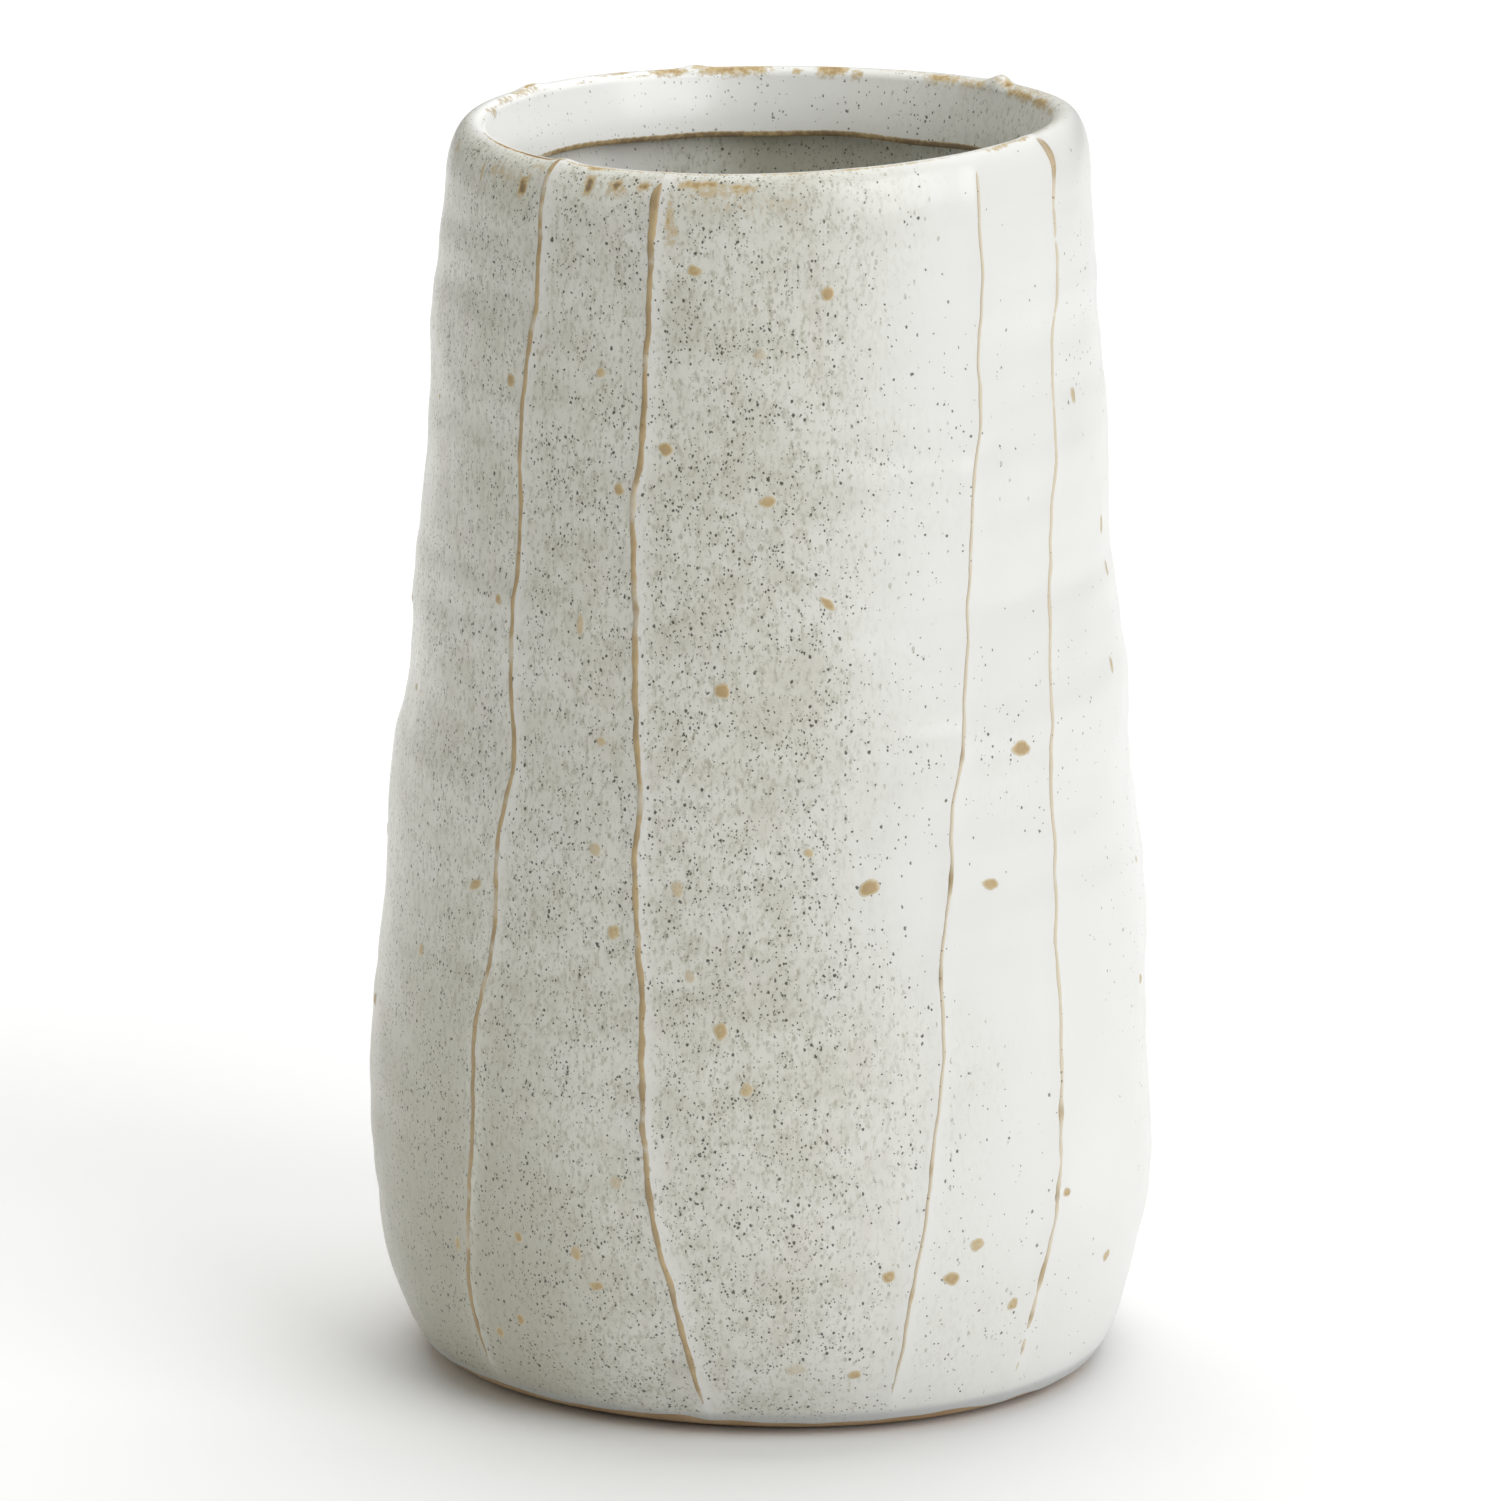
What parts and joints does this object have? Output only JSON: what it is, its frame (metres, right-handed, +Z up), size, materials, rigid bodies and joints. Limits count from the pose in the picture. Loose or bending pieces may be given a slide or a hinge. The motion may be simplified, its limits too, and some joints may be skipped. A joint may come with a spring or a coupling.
{
  "type": "stoneware vase",
  "caption": "Tall barrel-shaped stoneware vase with a rolled lip, an open mouth, a turned foot ring and thin raised clay threads down its side.",
  "frame": {"origin": "on the table, under the middle of the belly, at the foot ring's plane", "axes": "+Z up along the vase's height; -Y is the side with threads 1 to 4"},
  "size_m": [0.1508, 0.1505, 0.2419],
  "materials": {
    "bare_clay": "unglazed, sanded, matte",
    "glaze": "satin grey-white glaze with fine dark speckle",
    "thread_clay": "tan clay under glaze that has run thin"
  },
  "bodies": {
    "root": {"base_slab": "bare_clay", "wall": "glaze", "rim_collar": "glaze", "thread_1": "thread_clay", "thread_2": "thread_clay", "thread_3": "thread_clay", "thread_4": "thread_clay", "thread_5": "thread_clay", "thread_6": "thread_clay", "thread_7": "thread_clay", "thread_8": "thread_clay"}
  },
  "joints": []
}
